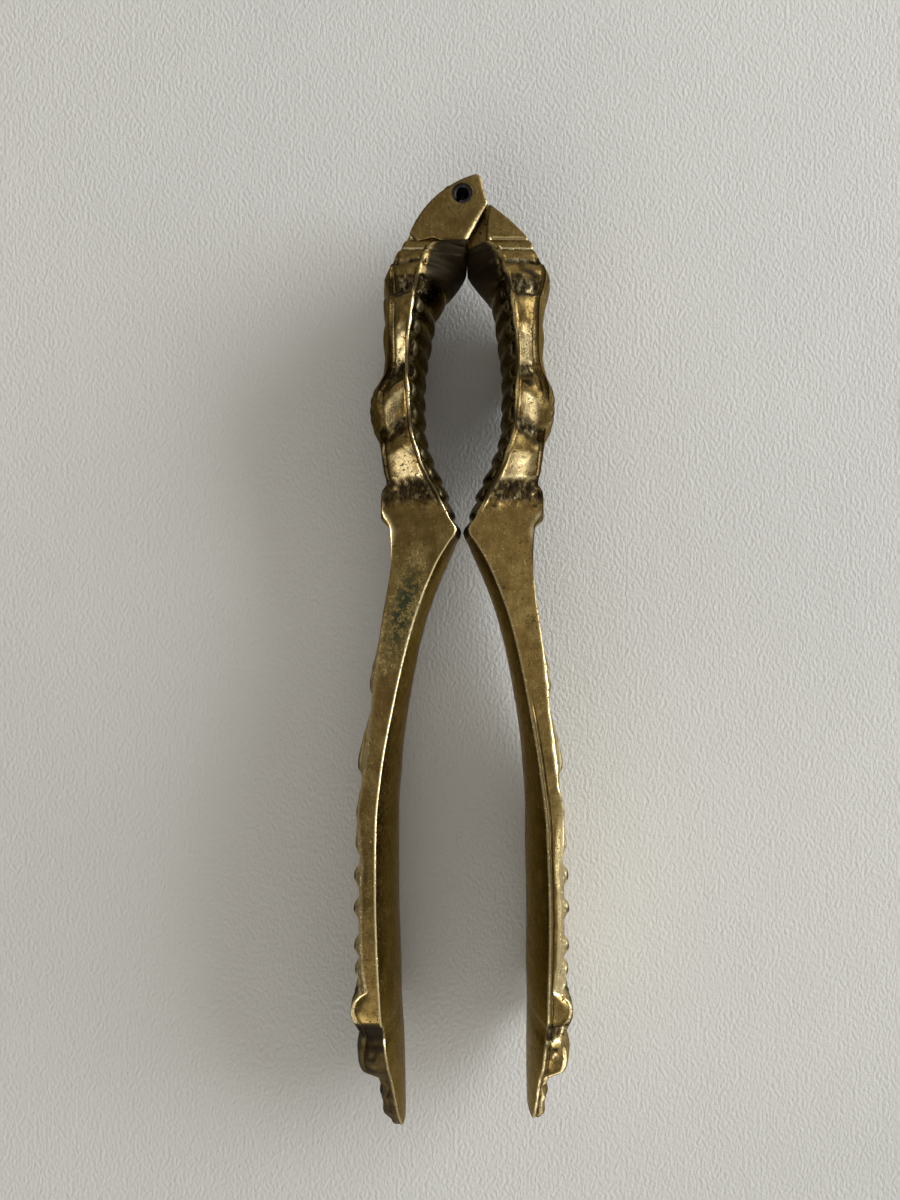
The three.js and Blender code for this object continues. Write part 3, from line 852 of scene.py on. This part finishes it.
def tarnish_and_painted_shade(s, casting):
    """How far each vertex is dark with age, and painted shade deep between the jaws, on the web, in the slot
    beside the leaf and on the outer side of the jaw, and on a darker tip.
    """
    # Dark with age in the jaw, and darker towards the middle of its width as painted shade between the arms.
    deep = s.jaw * (0.3 + 0.7 * (1 - smooth(0.7, 0.9, s.across)))
    # The slot beside the leaf is darkened as painted shade; the rest of the hinge is dulled with age.
    in_slot = s.height < LEAF_CLEARANCE + TONGUE_HEIGHT / 2
    dull_and_shaded_hinge = s.hinge * (0.25 + 0.35 * in_slot)
    # Painted shade, partly a dirty film, on the outer side of the jaw's terraces.
    outer_side = casting.outer_grime_and_shade * smooth(0.8, 0.95, s.u) * s.terraces
    dark_tip = 0.6 * s.tip * (1 - s.inner_edge)
    return deep + 0.45 * s.bands + 0.25 * s.grip + s.web + dull_and_shaded_hinge + dark_tip + outer_side


def age(obj, casting):
    """Marks where an arm is dirty and where it is in painted shade, where its metal is dark, pitted or
    rough, and where it is bright with wear and painted highlights.
    """
    s = Surface(obj, casting)
    paint(obj, "grime_and_shade", grime_and_painted_shade(s, casting))
    paint(obj, "tarnish_and_shade", tarnish_and_painted_shade(s, casting))
    # The web is added to the pitted bands as painted shade.
    paint(obj, "pits_and_shade", s.bands + s.web)
    paint(obj, "rough", s.terraces + 0.5 * smooth(LOBE_TOP, LOBE_TOP + 1, s.down) + 0.3)
    paint(obj, "polish_and_highlight", wear_and_highlights(s, casting))


def build_nodes(material):
    material.use_nodes = True
    tree = material.node_tree
    tree.nodes.clear()
    return tree


class Shader:
    """Short ways to add and join shader nodes."""

    def __init__(self, name):
        self.material = bpy.data.materials.new(name)
        self.tree = build_nodes(self.material)
        self.where = self.add("ShaderNodeTexCoord").outputs["Object"]

    def add(self, kind, **settings):
        node = self.tree.nodes.new(kind)
        for key, value in settings.items():
            setattr(node, key, value)
        return node

    def feed(self, socket, value):
        if isinstance(value, bpy.types.NodeSocket):
            self.tree.links.new(value, socket)
        else:
            socket.default_value = value

    def stretch(self, x, y, z):
        node = self.add("ShaderNodeMapping")
        self.feed(node.inputs["Vector"], self.where)
        node.inputs["Scale"].default_value = (x, y, z)
        return node.outputs["Vector"]

    def noise(self, scale, detail=4, roughness=0.6, at=None):
        node = self.add("ShaderNodeTexNoise")
        self.feed(node.inputs["Vector"], at or self.where)
        node.inputs["Scale"].default_value = scale
        node.inputs["Detail"].default_value = detail
        node.inputs["Roughness"].default_value = roughness
        return node.outputs["Fac"]

    def painted(self, name):
        return self.add("ShaderNodeAttribute", attribute_name=name).outputs["Fac"]

    def ramp(self, value, low, high, start=0, end=1):
        node = self.add("ShaderNodeMapRange", interpolation_type="SMOOTHSTEP")
        self.feed(node.inputs["Value"], value)
        for key, number in (("From Min", low), ("From Max", high), ("To Min", start), ("To Max", end)):
            node.inputs[key].default_value = number
        return node.outputs["Result"]

    def math(self, operation, a, b=0):
        node = self.add("ShaderNodeMath", operation=operation)
        self.feed(node.inputs[0], a)
        self.feed(node.inputs[1], b)
        return node.outputs[0]

    def times(self, a, b):
        return self.math("MULTIPLY", a, b)

    def larger(self, a, b):
        return self.math("MAXIMUM", a, b)

    def mix(self, factor, a, b):
        node = self.add("ShaderNodeMix", data_type="RGBA")
        for i, value in ((0, factor), (6, a), (7, b)):
            self.feed(node.inputs[i], value if i == 0 or not isinstance(value, tuple) else (*value, 1))
        return node.outputs[2]

    def blend(self, factor, a, b):
        node = self.add("ShaderNodeMix", data_type="FLOAT")
        for i, value in ((0, factor), (2, a), (3, b)):
            self.feed(node.inputs[i], value)
        return node.outputs[0]

    def bump(self, height, distance, strength=1, normal=None):
        node = self.add("ShaderNodeBump")
        self.feed(node.inputs["Height"], height)
        node.inputs["Distance"].default_value = distance
        node.inputs["Strength"].default_value = strength
        if normal:
            self.feed(node.inputs["Normal"], normal)
        return node.outputs["Normal"]

    def finish(self, color, roughness, normal, metallic, tint=(1, 1, 1), specular=0.5):
        surface = self.add("ShaderNodeBsdfPrincipled")
        surface.inputs["Specular IOR Level"].default_value = specular
        surface.inputs["Specular Tint"].default_value = (*tint, 1)
        self.feed(surface.inputs["Base Color"], color)
        self.feed(surface.inputs["Roughness"], roughness)
        self.feed(surface.inputs["Metallic"], metallic)
        self.feed(surface.inputs["Normal"], normal)
        out = self.add("ShaderNodeOutputMaterial")
        self.tree.links.new(surface.outputs["BSDF"], out.inputs["Surface"])
        return self.material


def clean_brass(s, brushed):
    """Colour of clean brass: cloudy and brushed, light where bright with wear and painted highlights, dark
    with age and painted shade.
    """
    tone = s.ramp(s.noise(300, 7, 0.8), 0.36, 0.66)
    brass = s.mix(tone, BRASS_QUIET, BRASS_CLEAN)
    cloudy = s.ramp(s.noise(60, 3, 0.5), 0.42, 0.62, 0, 0.4)
    brass = s.mix(cloudy, brass, BRASS_CLOUD)
    brass = s.mix(s.ramp(brushed, 0.35, 0.7, 0, 0.45), brass, BRASS_BRUSHED)
    # Places bright with wear and painted highlights turn pale gold.
    brass = s.mix(s.painted("polish_and_highlight"), brass, BRASS_RUBBED_AND_HIGHLIT)
    uneven = s.ramp(s.noise(500, 4, 0.6), 0.25, 0.6, 0.75, 1)
    # Age and painted shade darken the brass here.
    return s.mix(s.times(s.painted("tarnish_and_shade"), uneven), brass, BRASS_TARNISHED_AND_SHADED)


def dirt_and_shade_on_brass(s, mottle):
    """How far the brass is darkened: dirty places and painted shade, scratches on the pitted places and the
    web, and fine specks all over.
    """
    specks = s.times(s.ramp(s.noise(2600, 2, 0.5), 0.59, 0.66), s.ramp(mottle, 0.42, 0.56))
    grime_and_shade = s.times(s.painted("grime_and_shade"), s.ramp(mottle, 0.25, 0.6, 0.6, 1.15))
    scratches = s.ramp(s.noise(1, 4, 0.7, s.stretch(1700, 800, 1700)), 0.43, 0.53)
    pitting_and_shade = s.times(s.painted("pits_and_shade"), scratches)
    dirt_and_shade = s.larger(s.larger(grime_and_shade, pitting_and_shade), s.times(specks, 0.75))
    return s.ramp(dirt_and_shade, 0.05, 1, 0, 0.96)


def aged_brass(name, green_at=None):
    """Old brass: satin gold on bright places, olive brown on quiet ones, near black where it is dirty and in
    painted shade.
    """
    s = Shader(name)
    brushed = s.noise(1, 3, 0.7, s.stretch(6000, 260, 6000))
    mottle = s.noise(430, 6, 0.75)
    dirt_and_shade = dirt_and_shade_on_brass(s, mottle)
    color = s.mix(dirt_and_shade, clean_brass(s, brushed), GRIME_AND_SHADE)
    if green_at:
        green = verdigris(s, green_at)
        dirt_and_shade = s.larger(dirt_and_shade, green)
        color = s.mix(green, color, VERDIGRIS)
    satin = s.ramp(mottle, 0.3, 0.7, 0.19, 0.33)
    rough = s.blend(dirt_and_shade, s.blend(s.painted("polish_and_highlight"), satin, 0.16), 0.6)
    metallic = s.blend(dirt_and_shade, 1.0, 0.2)
    casting_skin = s.times(s.painted("rough"), s.noise(900, 5, 0.75))
    height = s.math("SUBTRACT", casting_skin, s.times(dirt_and_shade, 0.6))
    normal = s.bump(height, 0.00022, 0.75, s.bump(brushed, 0.00002, 0.5))
    return s.finish(color, rough, normal, metallic, EDGE_TINT, 0.18)


def verdigris(s, centre):
    """A slanting patch of black-green corrosion, broken up into specks, round a place on one arm."""
    patch = s.add("ShaderNodeMapping", vector_type="TEXTURE")
    s.feed(patch.inputs["Vector"], s.where)
    patch.inputs["Location"].default_value = centre
    patch.inputs["Rotation"].default_value = (0, 0, math.radians(-17))
    patch.inputs["Scale"].default_value = (0.0033, 0.013, 0.016)
    length = s.add("ShaderNodeVectorMath", operation="LENGTH")
    s.feed(length.inputs[0], patch.outputs["Vector"])
    near = s.ramp(length.outputs["Value"], 0.2, 1, 1, 0)
    return s.times(near, s.ramp(s.noise(1100, 5, 0.8), 0.42, 0.51))


def dark_steel(name):
    """Spring steel gone nearly black, with a little rust in it."""
    s = Shader(name)
    rust = s.ramp(s.noise(1500, 4, 0.6), 0.5, 0.68)
    color = s.mix(rust, (0.032, 0.032, 0.036), (0.05, 0.03, 0.018))
    rough = s.blend(rust, 0.36, 0.7)
    return s.finish(color, rough, s.bump(s.noise(2600, 4, 0.6), 0.00005, 0.5), s.blend(rust, 1.0, 0.4))


def painted_table(name):
    """A pale, slightly leathery painted board."""
    s = Shader(name)
    tone = s.ramp(s.noise(9, 3, 0.5), 0.35, 0.65)
    color = s.mix(tone, (0.49, 0.49, 0.475), (0.52, 0.52, 0.502))
    pebble = s.bump(s.noise(1, 2, 0.5, s.stretch(1900, 1200, 1500)), 0.0005, 0.5)
    normal = s.bump(s.noise(120, 2, 0.5), 0.001, 0.12, pebble)
    return s.finish(color, s.blend(tone, 0.6, 0.66), normal, 0.0, specular=0.25)


def cover(obj, material):
    """Gives an object one material."""
    obj.data.materials.clear()
    obj.data.materials.append(material)


def build_object():
    """Both arms aged, then both arms and the pin moved to their places and covered."""
    left = fork_arm()
    right = tongue_arm()
    pin = spring_pin()
    age(left, FORK)
    age(right, TONGUE)
    place(left, "fork_arm_brass", "left_arm", PARENT_BODY, "fork_brass", mirrored=True)
    place(right, "tongue_arm_brass", "right_arm", CHILD_BODY, "tongue_brass")
    place(pin, "spring_pin_steel", "hinge_pin", PARENT_BODY, "pin_steel")
    green_patch = PIN + MM * Vector((-9.2, -64.5, half_width(65)))
    cover(left, aged_brass("fork_brass", green_patch))
    cover(right, aged_brass("tongue_brass"))
    cover(pin, dark_steel("pin_steel"))


def build_stage():
    """The table that the tool lies on."""
    size = 3
    bm = bmesh.new()
    bmesh.ops.create_grid(bm, x_segments=1, y_segments=1, size=size / 2)
    mesh = bpy.data.meshes.new("table")
    bm.to_mesh(mesh)
    bm.free()
    table = bpy.data.objects.new("table", mesh)
    bpy.context.scene.collection.objects.link(table)
    table.location.z = cad_box[0].z
    cover(table, painted_table("table_paint"))


def area_light(name, place, aim, size, energy, color):
    """A rectangular lamp at a place, facing its aim."""
    light = bpy.data.lights.new(name, "AREA")
    light.shape = "RECTANGLE"
    light.size, light.size_y = size
    light.energy = energy
    light.color = color
    obj = bpy.data.objects.new(name, light)
    bpy.context.scene.collection.objects.link(obj)
    obj.location = place
    obj.rotation_mode = "QUATERNION"
    obj.rotation_quaternion = (Vector(aim) - Vector(place)).to_track_quat("-Z", "Y")


def glow(tree, way, towards, wide, bright):
    """Extra light from around one direction of the room: none beyond wide, most straight towards it."""
    facing = tree.nodes.new("ShaderNodeVectorMath")
    facing.operation = "DOT_PRODUCT"
    facing.inputs[1].default_value = Vector(towards).normalized()
    lit = tree.nodes.new("ShaderNodeMapRange")
    lit.interpolation_type = "SMOOTHSTEP"
    for key, number in (("From Min", wide), ("From Max", 1), ("To Min", 0), ("To Max", bright)):
        lit.inputs[key].default_value = number
    tree.links.new(way, facing.inputs[0])
    tree.links.new(facing.outputs["Value"], lit.inputs["Value"])
    return lit.outputs["Result"]


def build_light():
    """A room lit by one big window on the right, less from the front, and dim straight overhead."""
    towards_window = Vector((0.86, 0.3, 0.38)).normalized()
    area_light("window", 1.5 * towards_window, (0, 0, 0), (1.3, 1.0), 28, (0.97, 1.0, 1.03))
    world = bpy.data.worlds.new("room")
    world.use_nodes = True
    tree = world.node_tree
    way = tree.nodes.new("ShaderNodeTexCoord").outputs["Generated"]
    window_glow = (towards_window, 0.1, 0.6)
    front_glow = ((-0.2, -0.8, 0.55), 0.86, 3.2)
    overhead_glow = ((0.2, 0.3, 0.93), 0.3, 0.15)
    total = ROOM_GLOW
    for towards, wide, bright in (window_glow, front_glow, overhead_glow):
        add = tree.nodes.new("ShaderNodeMath")
        if isinstance(total, bpy.types.NodeSocket):
            tree.links.new(total, add.inputs[0])
        else:
            add.inputs[0].default_value = total
        tree.links.new(glow(tree, way, towards, wide, bright), add.inputs[1])
        total = add.outputs[0]
    background = tree.nodes["Background"]
    background.inputs["Color"].default_value = ROOM_COLOR
    tree.links.new(total, background.inputs["Strength"])
    bpy.context.scene.world = world
    bpy.context.scene.view_settings.view_transform = "Standard"


def build_camera():
    """Straight above the closed tool, close, with a phone's wide lens."""
    image_height = 1200
    focal = 866
    off_centre = 12.3
    height = 0.140
    forward = 0.00923
    camera = bpy.data.cameras.new("camera")
    camera.sensor_width = 36
    camera.lens = camera.sensor_width * focal / image_height
    camera.shift_x = -off_centre / image_height
    camera.clip_start = 0.005
    obj = bpy.data.objects.new("camera", camera)
    bpy.context.scene.collection.objects.link(obj)
    obj.location = (PIN.x, forward, PIN.z + height)
    bpy.context.scene.camera = obj


build_object()
build_stage()
build_light()
build_camera()
